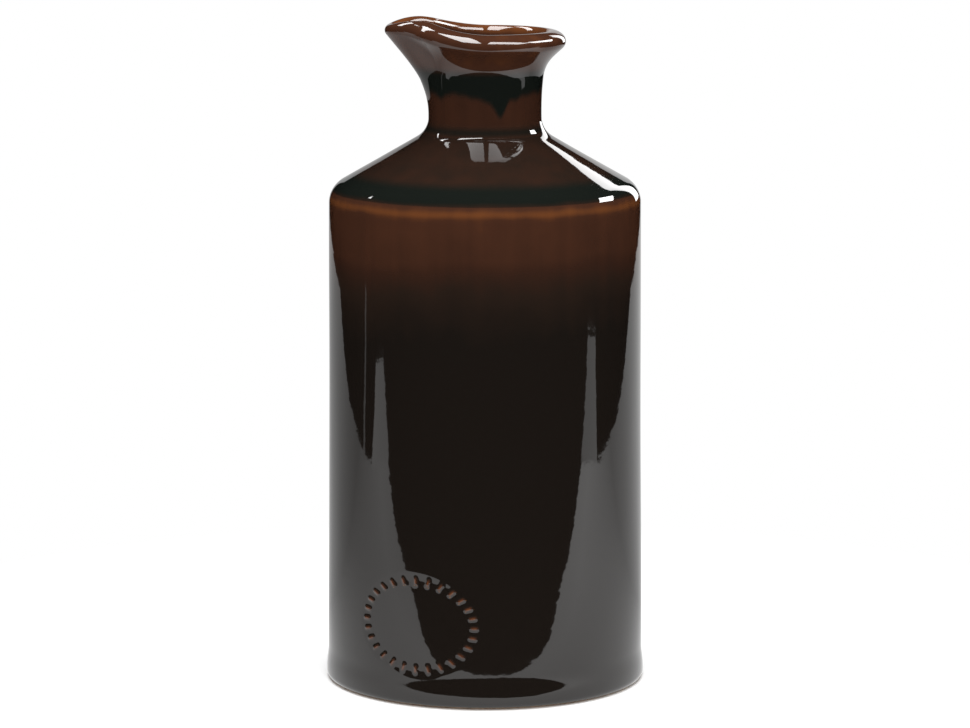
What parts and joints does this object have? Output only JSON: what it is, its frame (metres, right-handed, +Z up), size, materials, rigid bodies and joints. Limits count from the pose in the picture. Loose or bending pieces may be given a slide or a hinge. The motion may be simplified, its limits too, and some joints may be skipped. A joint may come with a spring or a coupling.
{
  "type": "stoneware bottle",
  "caption": "Cylindrical glazed stoneware bottle with a conical shoulder, short neck and a flared rim drawn out into a pouring spout.",
  "frame": {"origin": "on the ground, in the middle of the foot", "axes": "+Z up along the axis of the bore, -X towards the spout, -Y towards the side with the seal"},
  "size_m": [0.124, 0.124, 0.2569],
  "materials": {
    "clay": "matt fired stoneware",
    "seal_glaze": "glossy",
    "body_glaze": "glossy",
    "lip_glaze": "glossy",
    "inner_glaze": "glossy"
  },
  "bodies": {
    "root": {"base": "clay", "body_wall": "clay", "shoulder": "clay", "neck": "clay", "pouring_lip": "clay", "seal_pad": "seal_glaze", "body_glaze": "body_glaze", "lip_glaze": "lip_glaze", "inner_glaze": "inner_glaze"}
  },
  "joints": []
}
